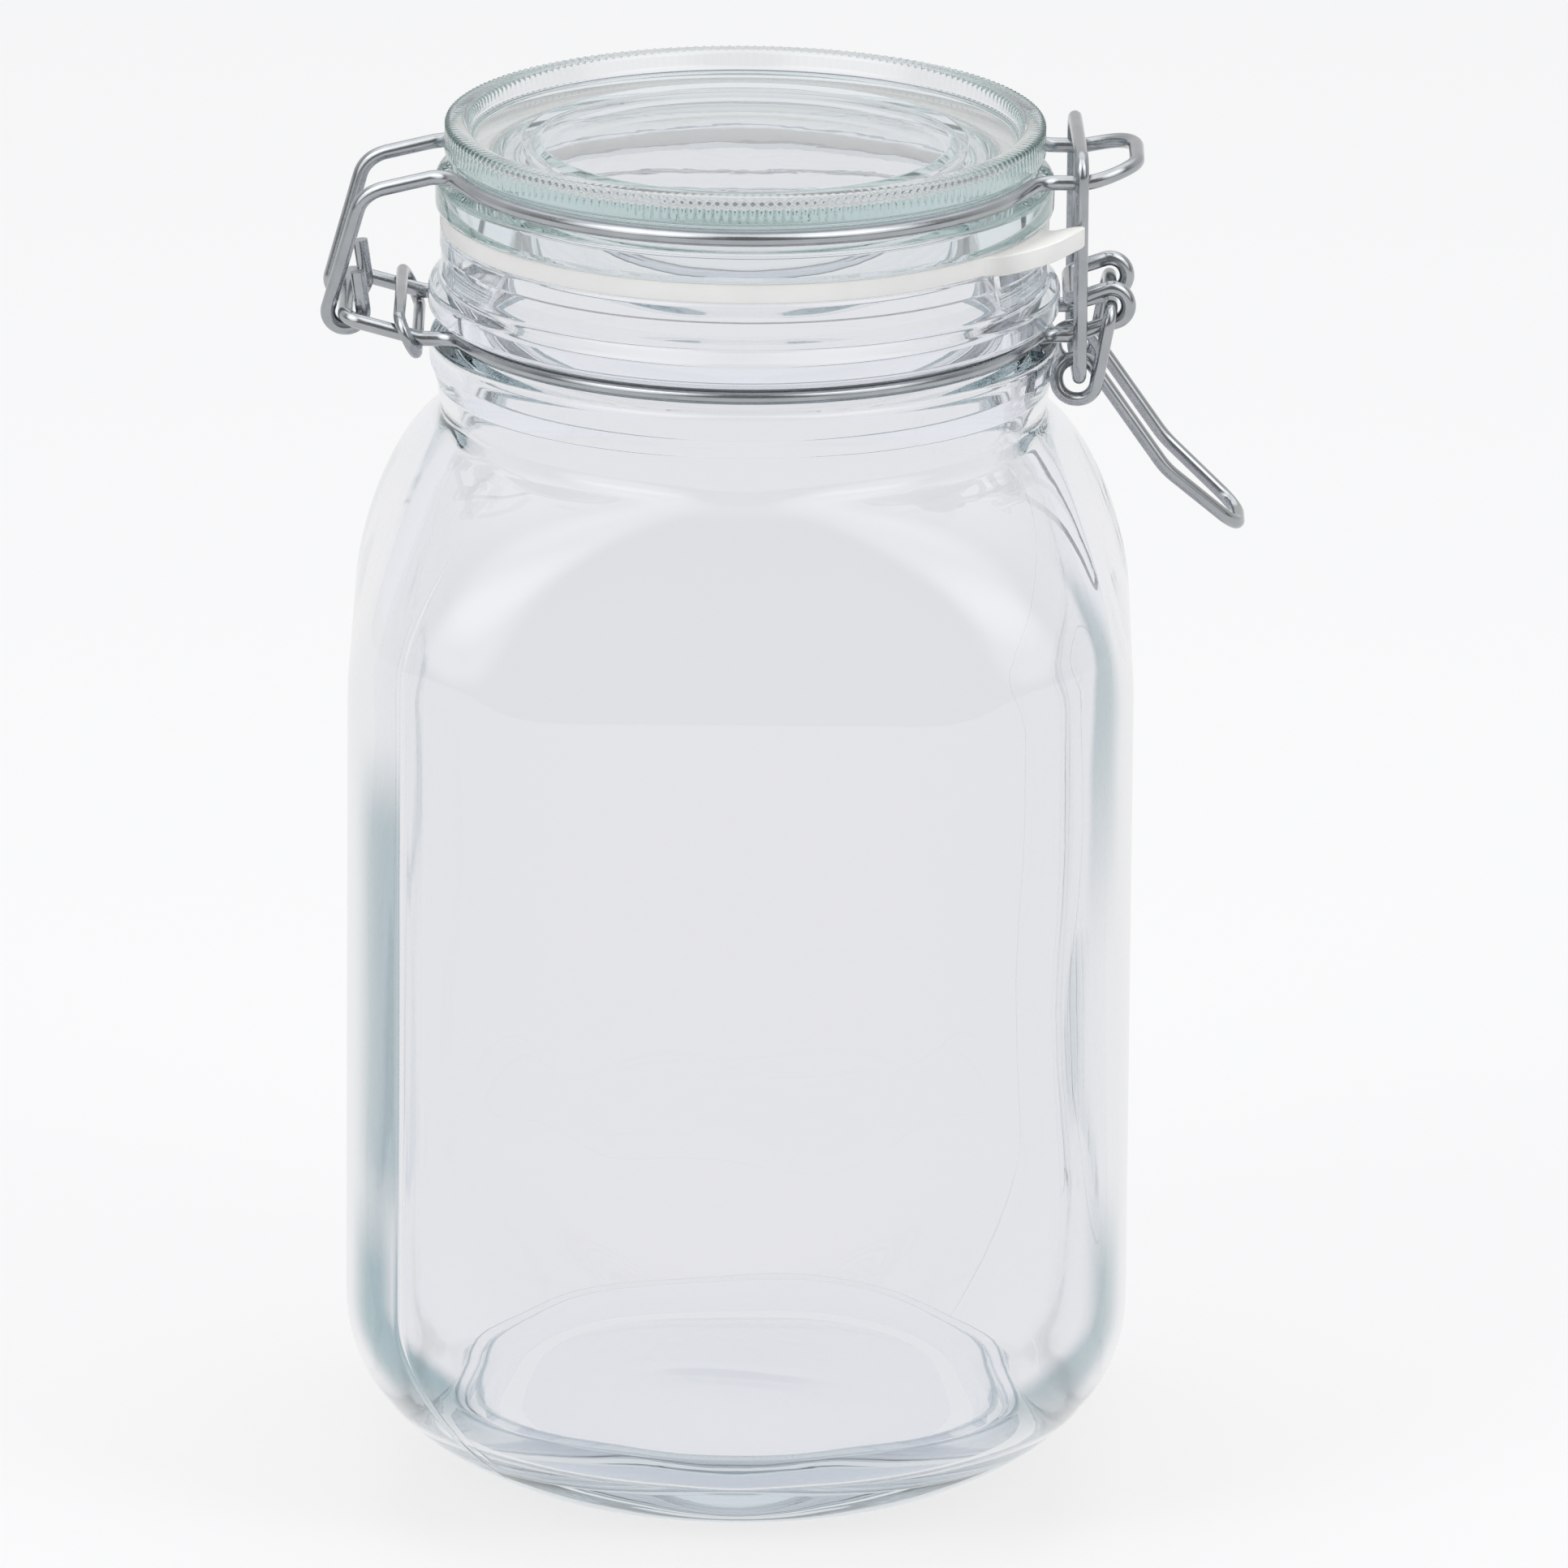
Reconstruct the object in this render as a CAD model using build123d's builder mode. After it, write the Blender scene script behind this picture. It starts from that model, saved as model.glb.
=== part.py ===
from build123d import *
from math import acos, asin, atan2, cos, degrees, hypot, radians, sin, sqrt
import os

# Square glass jar with a wire-bail clip lid. Millimetres, +Z up, origin at the centre of the foot ring.
# +X is the latch side, -X is the hinge side, and the plane Y = 0 is the plane of symmetry.

# Jar body
body_width = 130.0
body_corner_radius = 31.0
foot_radius = 42.0
foot_ring_width = 4.5
foot_push_up = 1.5
foot_push_up_taper = 45.0
heel_height = 37.5
shoulder_height = 36.0
corner_shoulder_height = 29.0
neck_start_height = 180.5
glass_wall = 3.8
floor_thickness = 15.0
floor_radius = 50.0
heel_roundness = 1.96
heel_corner_roundness = 1.42
shoulder_roundness = 1.25
shoulder_corner_roundness = 1.4
heel_start_share = 0.015
curved_sections = 8
section_flat = 0.4

# Neck and mouth
neck_radius = 50.0
neck_height = 32.7
neck_waist_radius = 50.9
neck_waist_height = 9.5
lower_bead_radius = 52.3
upper_bead_radius = 52.5
bead_width = 5.0
finish_radius = 50.4
mouth_radius = 43.0
mouth_depth = 10.0
rim_rounding = 0.8

# Wires
wire_diameter = 2.5
latch_wire_diameter = 2.3
ring_wire_diameter = 2.0
groove_clearance = 0.15
moving_clearance = 0.4
bend_radius = 5.0
tight_bend_radius = 2.9

# Collar wire: its ring, hinge bar and lever eyes
collar_below_mouth = 16.0
collar_radius = 49.7
hinge_reach = 66.0
hinge_rise = 3.4
hinge_strand_spacing = 30.0
eye_spacing = 19.2
eye_reach = 60.8
eye_rise = 5.2
crossbar_gap = 0.3
crossbar_rise = 5.9

# Oval tension ring round the collar's rear strands, leaning in the room between the bead and the hooks
tension_ring_gap = 0.3
tension_ring_slack = 0.363
tension_ring_height = 6.8
tension_ring_tilt = 25.0

# Rubber seal
seal_thickness = 3.4
seal_radius = 50.6
seal_inner_radius = 42.5
tab_angle = -27.0
tab_width = 19.0
tab_reach = 60.5
tab_corner_radius = 6.0
tab_lift_angle = 13.0
tab_bend_clearance = 0.8
seal_clearance = 0.2

# Glass lid
lid_radius = 50.0
lid_ring_radius = 49.7
lid_skirt_radius = 51.4
lid_height = 14.4
lid_skirt_height = 6.0
lid_flange_height = 5.0
lid_plate_thickness = 5.0
lid_recess_depth = 3.2
lid_rim_width = 4.6
lid_panel_radius = 34.0
lid_panel_groove_width = 3.0
lid_panel_groove_depth = 0.9
lid_plug_depth = 4.6
lid_plug_width = 4.0
lid_plug_taper = 1.4
lid_edge_rounding = 0.7

# Lid wire: hooks behind, catch loop in front
lid_strand_spacing = 23.6
hook_spacing = 20.4
hook_tip_rise = 7.0
hook_arm_lean = 14.0
hook_limb_lean = 8.0
catch_spacing = 24.4
catch_reach = 64.9
catch_flat_share = 0.33
catch_bend_radius = 8.2
catch_rise = 1.0

# Latch lever and bail
coil_radius = 3.3
coil_corners = 4
coil_offset_x = -5.6
coil_offset_z = -12.2
lever_slope = 55.0
lever_tip_slope = 42.0
lever_arm_length = 21.5
lever_tip_length = 16.5
lever_tip_spacing = 12.0
bail_width = 31.6
bail_corner_radius = 3.2
bail_catch_gap = 2.2
bail_seat_gap = 0.25
lever_bend_radius = 12.0
bend_ease = 0.97

# Heights and radii that follow from the sizes above
mouth_height = neck_start_height + neck_height
seal_top = mouth_height + seal_thickness
lid_top = seal_top + lid_height
wire_radius = wire_diameter / 2
latch_wire_radius = latch_wire_diameter / 2
ring_wire_radius = ring_wire_diameter / 2
collar_height = mouth_height - collar_below_mouth
groove_radius = collar_radius - wire_radius - groove_clearance
lid_wire_height = seal_top + lid_skirt_height + wire_radius + groove_clearance
half_width = body_width / 2
cavity_width = body_width - 2 * glass_wall
straight_height = neck_start_height - shoulder_height - heel_height
half_diagonal = sqrt(2) * (half_width - body_corner_radius) + body_corner_radius
hinge_height = collar_height + hinge_rise
pivot_height = collar_height + eye_rise


def superellipse(share, power):
    """Rise from 0 to 1 of a quarter superellipse, for a share of its run between 0 and 1."""
    return (1 - (1 - share) ** power) ** (1 / power)


def heel_rise(share, power):
    """Rise of the heel curve, which leaves the foot ring a little above the horizontal."""
    first = superellipse(heel_start_share, power)
    return (superellipse(heel_start_share + (1 - heel_start_share) * share, power) - first) / (1 - first)


def heel_size(share, inner):
    """Half width and half diagonal of the heel at a share of its height."""
    wall = glass_wall if inner else 0
    start = floor_radius if inner else foot_radius
    width = start + (half_width - wall - start) * heel_rise(share, heel_roundness)
    diagonal = start + (half_diagonal - wall - start) * heel_rise(share, heel_corner_roundness)
    return width, diagonal


def shoulder_size(drop, inner):
    """Half width and half diagonal of the shoulder at a drop below the neck."""
    wall = glass_wall if inner else 0
    share = min(drop / shoulder_height, 1)
    corner_share = min(drop / corner_shoulder_height, 1)
    rise = superellipse(share, shoulder_roundness)
    corner_rise = superellipse(corner_share, shoulder_corner_roundness)
    width = neck_radius + (half_width - neck_radius) * rise - wall
    diagonal = neck_radius + (half_diagonal - neck_radius) * corner_rise - wall
    return width, diagonal


def heel_sections(inner):
    """Heights, half widths and half diagonals that the heel is lofted through."""
    floor = floor_thickness if inner else 0
    sections = []
    for step in range(curved_sections + 1):
        share = 1 - cos(radians(90 * step / curved_sections))
        sections.append((floor + (heel_height - floor) * share, *heel_size(share, inner)))
    return sections


def shoulder_sections(inner):
    """Heights, half widths and half diagonals that the shoulder is lofted through."""
    sections = []
    for step in range(curved_sections + 1):
        drop = shoulder_height * (1 - sin(radians(90 * step / curved_sections)))
        sections.append((neck_start_height - drop, *shoulder_size(drop, inner)))
    return sections


def section_corner(width, diagonal):
    """Corner radius of a rounded square with this half width and half diagonal."""
    corner = (sqrt(2) * width - diagonal) / (sqrt(2) - 1)
    return min(corner, width - section_flat)


def tangent_angle(point, center, radius, side):
    """Angle on a circle, in degrees, of the tangent from a point; side is +1 or -1."""
    dx = point[0] - center[0]
    dz = point[1] - center[1]
    return degrees(atan2(dz, dx) + side * acos(radius / hypot(dx, dz)))


def tangent_corner(center, radius, first, second):
    """Point where the tangents to a circle at two angles, in degrees, cross."""
    middle = radians((first + second) / 2)
    reach = radius / cos(radians(second - first) / 2)
    return center[0] + reach * cos(middle), center[1] + reach * sin(middle)


def strand_bend(radius, strand, side):
    """Center of the bend from a ring to a strand along X, and the angle on the ring where it starts."""
    y = strand + bend_radius
    x = side * sqrt((radius + bend_radius) ** 2 - y ** 2)
    return x, y, degrees(atan2(y, x))


def ring_half(radius, height, rear_strand, front_strand):
    """Half of a ring with the bends into its rear and front strands, for Y above zero."""
    rear_x, rear_y, rear_angle = strand_bend(radius, rear_strand, -1)
    front_x, front_y, front_angle = strand_bend(radius, front_strand, 1)
    rear_turn = rear_angle - 90
    front_turn = 90 - front_angle
    CenterArc((rear_x, rear_y, height), bend_radius, 270, rear_turn)
    CenterArc((0, 0, height), radius, front_angle, rear_angle - front_angle)
    CenterArc((front_x, front_y, height), bend_radius, 270 - front_turn, front_turn)
    return rear_x, front_x


os.makedirs("parts", exist_ok=True)

# Glass jar: lofted body, turned neck, lofted cavity and turned mouth
lower_bead_top = collar_height - wire_radius - groove_clearance
upper_bead_bottom = collar_height + wire_radius + groove_clearance
with BuildPart() as jar_body:
    for height, width, diagonal in heel_sections(inner=False):
        with BuildSketch(Plane.XY.offset(height)):
            RectangleRounded(2 * width, 2 * width, section_corner(width, diagonal))
    loft()
    with BuildSketch(Plane.XY.offset(heel_height)):
        RectangleRounded(body_width, body_width, body_corner_radius)
    extrude(amount=straight_height)
    for height, width, diagonal in shoulder_sections(inner=False):
        with BuildSketch(Plane.XY.offset(height)):
            RectangleRounded(2 * width, 2 * width, section_corner(width, diagonal))
    loft()
    with BuildSketch(Plane.XZ):
        with BuildLine():
            Polyline(
                (0, neck_start_height),
                (neck_waist_radius, neck_start_height),
                (neck_waist_radius, neck_start_height + neck_waist_height),
                (lower_bead_radius, lower_bead_top - bead_width / 2),
                (lower_bead_radius, lower_bead_top - rim_rounding),
                (groove_radius, lower_bead_top),
                (groove_radius, upper_bead_bottom),
                (upper_bead_radius, upper_bead_bottom + rim_rounding),
                (upper_bead_radius, upper_bead_bottom + bead_width),
                (finish_radius, upper_bead_bottom + bead_width + rim_rounding),
                (finish_radius, mouth_height - rim_rounding),
                (finish_radius - rim_rounding, mouth_height),
                (0, mouth_height),
                close=True,
            )
        make_face()
    revolve(axis=Axis.Z)
    for height, width, diagonal in heel_sections(inner=True):
        with BuildSketch(Plane.XY.offset(height)):
            RectangleRounded(2 * width, 2 * width, section_corner(width, diagonal))
    loft(mode=Mode.SUBTRACT)
    with BuildSketch(Plane.XY.offset(heel_height)):
        RectangleRounded(cavity_width, cavity_width, body_corner_radius - glass_wall)
    extrude(amount=straight_height, mode=Mode.SUBTRACT)
    for height, width, diagonal in shoulder_sections(inner=True):
        with BuildSketch(Plane.XY.offset(height)):
            RectangleRounded(2 * width, 2 * width, section_corner(width, diagonal))
    loft(mode=Mode.SUBTRACT)
    with BuildSketch(Plane.XZ):
        with BuildLine():
            Polyline(
                (0, neck_start_height - glass_wall),
                (neck_radius - glass_wall, neck_start_height - glass_wall),
                (neck_radius - glass_wall, mouth_height - mouth_depth - glass_wall),
                (mouth_radius, mouth_height - mouth_depth),
                (mouth_radius, mouth_height),
                (0, mouth_height),
                close=True,
            )
        make_face()
    revolve(axis=Axis.Z, mode=Mode.SUBTRACT)
    with BuildSketch(Plane.XY):
        Circle(foot_radius - foot_ring_width)
    extrude(amount=foot_push_up, taper=foot_push_up_taper, mode=Mode.SUBTRACT)
jar_body.part.label = "jar_body"
export_step(jar_body.part, "parts/jar_body.step")

# Glass lid, turned in one profile from the top of its panel round to the underside of its plate
lid_floor = lid_top - lid_recess_depth
lid_groove_top = lid_wire_height + wire_radius + groove_clearance
lid_groove_bottom = lid_wire_height - wire_radius - groove_clearance
lid_groove_radius = lid_ring_radius - wire_radius - groove_clearance
rim_inner_radius = lid_radius - lid_rim_width
plug_radius = seal_inner_radius - seal_clearance
plug_inner_radius = plug_radius - lid_plug_width
plug_bottom = seal_top - lid_plug_depth
with BuildPart() as glass_lid:
    with BuildSketch(Plane.XZ):
        with BuildLine():
            Polyline(
                (0, lid_floor),
                (lid_panel_radius, lid_floor),
                (lid_panel_radius + lid_panel_groove_width / 2, lid_floor - lid_panel_groove_depth),
                (lid_panel_radius + lid_panel_groove_width, lid_floor),
                (rim_inner_radius, lid_floor),
                (rim_inner_radius + lid_edge_rounding, lid_top),
                (lid_radius - lid_edge_rounding, lid_top),
                (lid_radius, lid_top - lid_edge_rounding),
                (lid_radius, lid_top - lid_flange_height),
                (lid_groove_radius, lid_groove_top),
                (lid_groove_radius, lid_groove_bottom),
                (lid_skirt_radius, lid_groove_bottom - lid_edge_rounding),
                (lid_skirt_radius, seal_top + lid_edge_rounding),
                (lid_skirt_radius - lid_edge_rounding, seal_top),
                (plug_radius, seal_top),
                (plug_radius, mouth_height),
                (plug_radius - lid_plug_taper, plug_bottom),
                (plug_inner_radius, plug_bottom),
                (plug_inner_radius - lid_plug_taper, lid_floor - lid_plate_thickness),
                (0, lid_floor - lid_plate_thickness),
                close=True,
            )
        make_face()
    revolve(axis=Axis.Z)
glass_lid.part.label = "glass_lid"
export_step(glass_lid.part, "parts/glass_lid.step")

# Rubber seal: a flat ring, and a pull tab that is flat under the lid and lifts beyond it
tab_bend_radius = lid_skirt_radius + tab_bend_clearance
tab_root = seal_radius - seal_thickness / 2
tab_direction = (cos(radians(tab_angle)), sin(radians(tab_angle)))
tab_flat = Plane(
    origin=(tab_root * tab_direction[0], tab_root * tab_direction[1], mouth_height),
    x_dir=(*tab_direction, 0),
    z_dir=(0, 0, 1),
)
tab_lifted = Plane(
    origin=(tab_bend_radius * tab_direction[0], tab_bend_radius * tab_direction[1], mouth_height),
    x_dir=(*tab_direction, sin(radians(tab_lift_angle)) / cos(radians(tab_lift_angle))),
    z_dir=(
        -sin(radians(tab_lift_angle)) * tab_direction[0],
        -sin(radians(tab_lift_angle)) * tab_direction[1],
        cos(radians(tab_lift_angle)),
    ),
)
tab_length = tab_reach - tab_bend_radius
with BuildPart() as rubber_seal:
    with BuildSketch(Plane.XY.offset(mouth_height)):
        Circle(seal_radius)
        Circle(seal_inner_radius, mode=Mode.SUBTRACT)
    extrude(amount=seal_thickness)
    with BuildSketch(tab_flat):
        Rectangle(tab_bend_radius - tab_root, tab_width, align=(Align.MIN, Align.CENTER))
    extrude(amount=seal_thickness)
    with BuildSketch(tab_lifted) as tab_end:
        Rectangle(tab_length, tab_width, align=(Align.MIN, Align.CENTER))
        fillet(tab_end.vertices().group_by(Axis.X)[-1], tab_corner_radius)
    extrude(amount=seal_thickness)
rubber_seal.part.label = "rubber_seal"
export_step(rubber_seal.part, "parts/rubber_seal.step")

# Collar wire: hinge bar, rear strands, ring in the neck groove, lever eyes and the bar between them
hinge_strand = hinge_strand_spacing / 2
eye_strand = eye_spacing / 2
pivot = (eye_reach, pivot_height)
crossbar = (upper_bead_radius + crossbar_gap + wire_radius, collar_height + crossbar_rise)
collar_rear_x = strand_bend(collar_radius, hinge_strand, -1)[0]
collar_front_x = strand_bend(collar_radius, eye_strand, 1)[0]
rear_rise_x = collar_rear_x - wire_diameter
front_rise = (collar_front_x + wire_radius, collar_height)
eye_first = tangent_angle(front_rise, pivot, tight_bend_radius, 1)
eye_last = tangent_angle(crossbar, pivot, tight_bend_radius, -1)
eye_middle = (eye_first + eye_last) / 2
eye_low = tangent_corner(pivot, tight_bend_radius, eye_first, eye_middle)
eye_high = tangent_corner(pivot, tight_bend_radius, eye_middle, eye_last)
eased_bend = tight_bend_radius * bend_ease
with BuildPart() as neck_wire:
    with BuildLine() as collar_path:
        FilletPolyline(
            (-hinge_reach, 0, hinge_height),
            (-hinge_reach, hinge_strand, hinge_height),
            (rear_rise_x, hinge_strand, collar_height),
            (collar_rear_x, hinge_strand, collar_height),
            radius=[tight_bend_radius, bend_radius],
        )
        ring_half(collar_radius, collar_height, hinge_strand, eye_strand)
        FilletPolyline(
            (collar_front_x, eye_strand, collar_height),
            (front_rise[0], eye_strand, front_rise[1]),
            (eye_low[0], eye_strand, eye_low[1]),
            (eye_high[0], eye_strand, eye_high[1]),
            (crossbar[0], eye_strand, crossbar[1]),
            (crossbar[0], 0, crossbar[1]),
            radius=[wire_diameter, eased_bend, eased_bend, wire_diameter],
        )
    collar = collar_path.wire()
    with BuildSketch(Plane(origin=collar @ 0, z_dir=collar % 0)):
        Circle(wire_radius)
    sweep(path=collar)
    mirror(about=Plane.XZ)
neck_wire.part.label = "neck_wire"
export_step(neck_wire.part, "parts/neck_wire.step")

# Oval tension ring, tilted outward at the top, round the rear strands of the collar
ring_room_start = upper_bead_radius + tension_ring_gap + ring_wire_radius
ring_room_end = hinge_reach - tight_bend_radius - wire_radius - moving_clearance - ring_wire_radius
ring_room = ring_room_end - ring_room_start
ring_lean = min(tension_ring_height * sin(radians(tension_ring_tilt)), ring_room)
ring_reach = ring_room_start + ring_lean / 2 + min(tension_ring_slack, ring_room - ring_lean)
strand_slope = (hinge_height - collar_height) / (rear_rise_x + hinge_reach)
ring_center_height = collar_height + (ring_reach + rear_rise_x) * strand_slope
ring_half_length = hinge_strand + wire_radius + ring_wire_radius + bail_seat_gap
tilt = asin(ring_lean / tension_ring_height)
ring_plane = Plane(
    origin=(-ring_reach, 0, ring_center_height),
    x_dir=(0, 1, 0),
    z_dir=(cos(tilt), 0, sin(tilt)),
)
with BuildPart() as tension_ring:
    with BuildLine(ring_plane) as oval_path:
        FilletPolyline(
            (0, -tension_ring_height / 2),
            (ring_half_length, -tension_ring_height / 2),
            (ring_half_length, tension_ring_height / 2),
            (0, tension_ring_height / 2),
            radius=tension_ring_height / 2 * bend_ease,
        )
    oval = oval_path.wire()
    with BuildSketch(Plane(origin=oval @ 0, z_dir=oval % 0)):
        Circle(ring_wire_radius)
    sweep(path=oval)
    mirror(about=Plane.XZ)
tension_ring.part.label = "tension_ring"
export_step(tension_ring.part, "parts/tension_ring.step")

# Lid wire: catch loop, ring in the lid groove, rear strands, arms and the hooks on the hinge bar
hinge = (-hinge_reach, hinge_height)
catch_strand = catch_spacing / 2
lid_strand = lid_strand_spacing / 2
hook_strand = hook_spacing / 2
catch_height = lid_wire_height + catch_rise
lid_rear_x = strand_bend(lid_ring_radius, lid_strand, -1)[0]
lid_front_x = strand_bend(lid_ring_radius, catch_strand, 1)[0]
catch_slope_x = lid_front_x + catch_flat_share * (catch_reach - lid_front_x)
catch_corner_radius = min(catch_bend_radius, bend_ease * (catch_reach - catch_slope_x))
arm_angle = 180 - hook_arm_lean
arm_foot_x = hinge[0] + tight_bend_radius * cos(radians(arm_angle))
arm_foot_z = hinge[1] + tight_bend_radius * sin(radians(arm_angle))
arm_run = (lid_wire_height - arm_foot_z) * sin(radians(hook_arm_lean)) / cos(radians(hook_arm_lean))
hook_outer = tangent_corner(hinge, tight_bend_radius, arm_angle, 270)
hook_inner = tangent_corner(hinge, tight_bend_radius, -90, hook_limb_lean)
limb_foot_x = hinge[0] + tight_bend_radius * cos(radians(hook_limb_lean))
limb_foot_z = hinge[1] + tight_bend_radius * sin(radians(hook_limb_lean))
limb_run = (hinge[1] + hook_tip_rise - limb_foot_z) * sin(radians(hook_limb_lean))
with BuildPart() as lid_wire:
    with BuildLine() as lid_path:
        FilletPolyline(
            (catch_reach, 0, catch_height),
            (catch_reach, catch_strand, catch_height),
            (catch_slope_x, catch_strand, lid_wire_height),
            (lid_front_x, catch_strand, lid_wire_height),
            radius=[catch_corner_radius, bend_radius],
        )
        ring_half(lid_ring_radius, lid_wire_height, lid_strand, catch_strand)
        FilletPolyline(
            (lid_rear_x, lid_strand, lid_wire_height),
            (arm_foot_x + arm_run, lid_strand, lid_wire_height),
            (hook_outer[0], hook_strand, hook_outer[1]),
            (hook_inner[0], hook_strand, hook_inner[1]),
            (limb_foot_x - limb_run, hook_strand, hinge[1] + hook_tip_rise),
            radius=[bend_radius, eased_bend, eased_bend],
        )
    lid_line = lid_path.wire()
    with BuildSketch(Plane(origin=lid_line @ 0, z_dir=lid_line % 0)):
        Circle(wire_radius)
    sweep(path=lid_line)
    mirror(about=Plane.XZ)
lid_wire.part.label = "lid_wire"
export_step(lid_wire.part, "parts/lid_wire.step")

# Latch lever: axle through the eyes, strands, coils that carry the bail, arms and finger loop
lever_strand = eye_strand + wire_radius + latch_wire_radius + moving_clearance
lever_arm = lever_strand - latch_wire_diameter - bail_seat_gap
coil = (pivot[0] + coil_offset_x, pivot[1] + coil_offset_z)
coil_start = tangent_angle(pivot, coil, coil_radius, -1)
coil_end = 90 - lever_slope - 360
coil_step = (coil_end - coil_start) / coil_corners
lever_points = [(pivot[0], 0, pivot[1]), (pivot[0], lever_strand, pivot[1])]
for step in range(coil_corners):
    angle = coil_start + coil_step * step
    x, z = tangent_corner(coil, coil_radius, angle, angle + coil_step)
    y = lever_strand + (lever_arm - lever_strand) * step / (coil_corners - 1)
    lever_points.append((x, y, z))
arm_x = coil[0] + coil_radius * cos(radians(coil_end)) + lever_arm_length * cos(radians(lever_slope))
arm_z = coil[1] + coil_radius * sin(radians(coil_end)) - lever_arm_length * sin(radians(lever_slope))
tip_x = arm_x + lever_tip_length * cos(radians(lever_tip_slope))
tip_z = arm_z - lever_tip_length * sin(radians(lever_tip_slope))
lever_points.append((arm_x, lever_arm, arm_z))
lever_points.append((tip_x, lever_tip_spacing / 2, tip_z))
lever_points.append((tip_x, 0, tip_z))
coil_bends = [coil_radius * bend_ease] * coil_corners
with BuildPart() as latch_lever:
    with BuildLine() as lever_path:
        FilletPolyline(
            *lever_points,
            radius=[tight_bend_radius, *coil_bends, lever_bend_radius, bend_radius],
        )
    lever_line = lever_path.wire()
    with BuildSketch(Plane(origin=lever_line @ 0, z_dir=lever_line % 0)):
        Circle(latch_wire_radius)
    sweep(path=lever_line)
    mirror(about=Plane.XZ)
latch_lever.part.label = "latch_lever"
export_step(latch_lever.part, "parts/latch_lever.step")

# Latch bail: closed loop from the top of the coils' holes to just above the catch loop
bail_bottom = coil[1] + coil_radius - latch_wire_diameter - bail_seat_gap
bail_top = lid_wire_height + wire_radius + bail_catch_gap + latch_wire_radius
with BuildPart() as latch_bail:
    with BuildLine() as bail_path:
        FilletPolyline(
            (coil[0], 0, bail_bottom),
            (coil[0], bail_width / 2, bail_bottom),
            (coil[0], bail_width / 2, bail_top),
            (coil[0], 0, bail_top),
            radius=bail_corner_radius,
        )
    bail_line = bail_path.wire()
    with BuildSketch(Plane(origin=bail_line @ 0, z_dir=bail_line % 0)):
        Circle(latch_wire_radius)
    sweep(path=bail_line)
    mirror(about=Plane.XZ)
latch_bail.part.label = "latch_bail"
export_step(latch_bail.part, "parts/latch_bail.step")

print("lid hinge at", hinge)
print("lever pivot at", pivot)
print("bail pivot at", (coil[0], bail_bottom))
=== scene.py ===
from math import cos, pi, radians, sin, sqrt

import bmesh
import bpy
import numpy as np
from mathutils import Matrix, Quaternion, Vector


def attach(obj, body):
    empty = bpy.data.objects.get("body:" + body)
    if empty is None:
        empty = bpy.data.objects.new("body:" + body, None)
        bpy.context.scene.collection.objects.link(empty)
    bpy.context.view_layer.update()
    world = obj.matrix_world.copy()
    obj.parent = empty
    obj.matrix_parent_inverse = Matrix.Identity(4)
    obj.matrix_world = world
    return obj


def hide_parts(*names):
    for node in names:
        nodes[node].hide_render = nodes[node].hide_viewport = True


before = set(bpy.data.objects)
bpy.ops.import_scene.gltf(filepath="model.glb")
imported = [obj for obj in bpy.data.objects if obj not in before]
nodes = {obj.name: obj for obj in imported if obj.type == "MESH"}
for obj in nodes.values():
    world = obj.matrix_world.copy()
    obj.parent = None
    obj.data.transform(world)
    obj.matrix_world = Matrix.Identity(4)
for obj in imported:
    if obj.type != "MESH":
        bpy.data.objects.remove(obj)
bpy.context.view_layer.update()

mm = 0.001
scene = bpy.context.scene
print("frame loaded:", ", ".join(sorted(nodes)))


def linearColor(hexColor):
    channels = [int(hexColor[i:i + 2], 16) / 255 for i in (1, 3, 5)]
    return tuple(c / 12.92 if c <= 0.04045 else ((c + 0.055) / 1.055) ** 2.4 for c in channels) + (1.0,)


def addNode(tree, kind, inputs=None, **settings):
    node = tree.nodes.new(kind)
    for name, value in settings.items():
        setattr(node, name, value)
    for name, value in (inputs or {}).items():
        socket = node.inputs[name]
        if isinstance(value, bpy.types.NodeSocket):
            tree.links.new(value, socket)
        else:
            socket.default_value = value
    return node


def newMaterial(name):
    material = bpy.data.materials.new(name)
    material.use_nodes = True
    material.node_tree.nodes.clear()
    return material, material.node_tree


def perMillimetre(size):      # texture scale that gives a pattern of this size, in metres
    return 1 / (size * mm)


# Soda-lime container glass, fire polished: clear, with a faint teal body colour that gathers in thick edges; the
# darker teal at the jar's edges is partly that tint and partly painted shade
glassLook = {
    "clear": "#F9F9FB",
    "edgeTintAndShade": "#7899A0",
    "ior": 1.52,
    "waveSize": 34.0,
    "rippleSize": 7.0,
    "rippleShare": 1 / 6,      # height of the ripples against the waves
}
# tint and absorption per metre, strengths of waves and ripples, height of the waves
jarLook = {"name": "blownSodaLimeGlass", "tint": "#D6E1E4", "absorption": 9.0,
           "wave": 0.12, "ripple": 0.05, "waveHeight": 0.6}
lidLook = {"name": "pressedSodaLimeGlass", "tint": "#D0E2DF", "absorption": 15.0,
           "wave": 0.28, "ripple": 0.16, "waveHeight": 0.5}

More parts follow.
